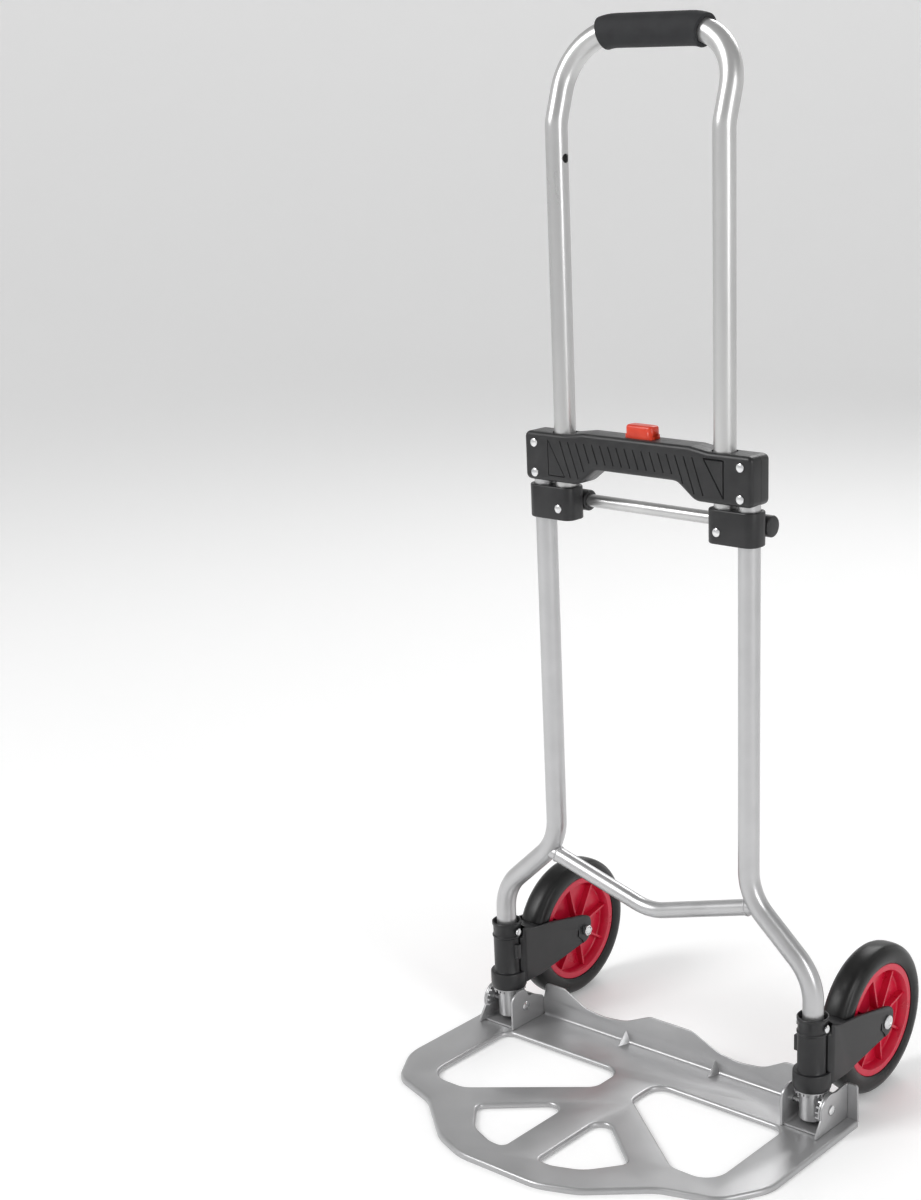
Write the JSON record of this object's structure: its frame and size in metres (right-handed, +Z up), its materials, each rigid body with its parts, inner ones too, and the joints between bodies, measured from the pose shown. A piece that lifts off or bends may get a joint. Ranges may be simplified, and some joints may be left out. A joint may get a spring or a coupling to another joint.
{
  "type": "folding hand truck",
  "caption": "Folding hand truck with a telescoping U handle, push-button lock, hinged pressed toe plate and wheels that swing in on geared arms.",
  "frame": {"origin": "centre of the bounding box's footprint, on the ground that the wheels and toe plate stand on", "axes": "+Z up along the handle, +X to the truck's right wheel seen from behind the toe plate, -Y towards the toe plate's front edge"},
  "size_m": [0.442, 0.412, 0.9841],
  "materials": {
    "silver_paint": "satin silver powder coat",
    "handle_paint": "bright satin",
    "plate_paint": "silver metallic paint, fine sparkle",
    "zinc": "bright zinc plate",
    "gear_steel": "bare machined steel",
    "black_plastic": "fine spark-eroded texture",
    "foam": "soft foam sleeve",
    "rim_plastic": "crimson moulding, semi-gloss",
    "button_plastic": "orange-red moulding",
    "tyre_rubber": "solid soft tyre"
  },
  "bodies": {
    "frame": {"frame_tube_left": "silver_paint", "frame_tube_right": "silver_paint", "frame_brace": "silver_paint", "crossbar_front_shell": "black_plastic", "crossbar_rear_shell": "black_plastic", "crossbar_rivet_1": "zinc", "crossbar_rivet_2": "zinc", "crossbar_rivet_3": "zinc", "crossbar_rivet_4": "zinc", "leg_ring_left": "black_plastic", "leg_ring_right": "black_plastic", "ring_rivet_left": "zinc", "ring_rivet_right": "zinc", "leg_bush_left": "silver_paint", "leg_bush_right": "silver_paint", "button_spring": "zinc"},
    "handle": {"handle_tube": "handle_paint", "handle_grip": "foam", "collar_left": "black_plastic", "collar_right": "black_plastic", "collar_rivet_left": "zinc", "collar_rivet_right": "zinc", "tie_rod": "silver_paint"},
    "release_button": {"release_button": "button_plastic"},
    "lock_bolt_left": {"lock_bolt_left": "zinc"},
    "lock_bolt_right": {"lock_bolt_right": "zinc"},
    "toe_plate": {"toe_plate": "plate_paint", "hinge_bracket_left": "plate_paint", "hinge_bracket_right": "plate_paint", "gear_sector_left": "plate_paint", "gear_sector_right": "plate_paint", "hinge_pin_left": "zinc", "hinge_pin_right": "zinc"},
    "wheel_arm_left": {"wheel_arm_left": "black_plastic", "crown_gear_left": "gear_steel", "axle_bolt_left": "zinc", "axle_nut_left": "zinc"},
    "wheel_arm_right": {"wheel_arm_right": "black_plastic", "crown_gear_right": "gear_steel", "axle_bolt_right": "zinc", "axle_nut_right": "zinc"},
    "wheel_left": {"tyre_left": "tyre_rubber", "rim_left": "rim_plastic", "wheel_bush_left": "zinc"},
    "wheel_right": {"tyre_right": "tyre_rubber", "rim_right": "rim_plastic", "wheel_bush_right": "zinc"}
  },
  "joints": [
    {"name": "handle_slide", "type": "slide", "parent": "frame", "child": "handle", "axis": [0, 0, -1], "range_m": [0, 0.262]},
    {"name": "release_button_press", "type": "slide", "parent": "frame", "child": "release_button", "axis": [0, 0, -1], "range_m": [0, 0.006], "stiffness_N_per_m": 600, "springref_m": -0.004, "deforming": ["button_spring"]},
    {"name": "lock_bolt_left_slide", "type": "slide", "parent": "frame", "child": "lock_bolt_left", "axis": [1, 0, 0], "range_m": [0, 0.006]},
    {"name": "lock_bolt_right_slide", "type": "slide", "parent": "frame", "child": "lock_bolt_right", "axis": [-1, 0, 0], "range_m": [0, 0.006]},
    {"name": "toe_plate_fold", "type": "hinge", "parent": "frame", "child": "toe_plate", "pos_m": [0, 0.029, 0.0263], "axis": [-1, 0, 0], "range_deg": [0, 90]},
    {"name": "wheel_arm_left_swing", "type": "hinge", "parent": "frame", "child": "wheel_arm_left", "pos_m": [-0.187, 0.029, 0.05], "axis": [0, 0, -1], "range_deg": [0, 90]},
    {"name": "wheel_arm_right_swing", "type": "hinge", "parent": "frame", "child": "wheel_arm_right", "pos_m": [0.187, 0.029, 0.05], "axis": [0, 0, 1], "range_deg": [0, 90]},
    {"name": "wheel_spin_left", "type": "hinge", "parent": "wheel_arm_left", "child": "wheel_left", "pos_m": [-0.187, 0.131, 0.075], "axis": [1, 0, 0], "continuous": true},
    {"name": "wheel_spin_right", "type": "hinge", "parent": "wheel_arm_right", "child": "wheel_right", "pos_m": [0.187, 0.131, 0.075], "axis": [1, 0, 0], "continuous": true}
  ],
  "couplings": [
    {"joint": "lock_bolt_left_slide", "follows": "release_button_press", "ratio": 1},
    {"joint": "lock_bolt_right_slide", "follows": "release_button_press", "ratio": 1},
    {"joint": "wheel_arm_left_swing", "follows": "toe_plate_fold", "ratio": 1},
    {"joint": "wheel_arm_right_swing", "follows": "toe_plate_fold", "ratio": 1}
  ]
}
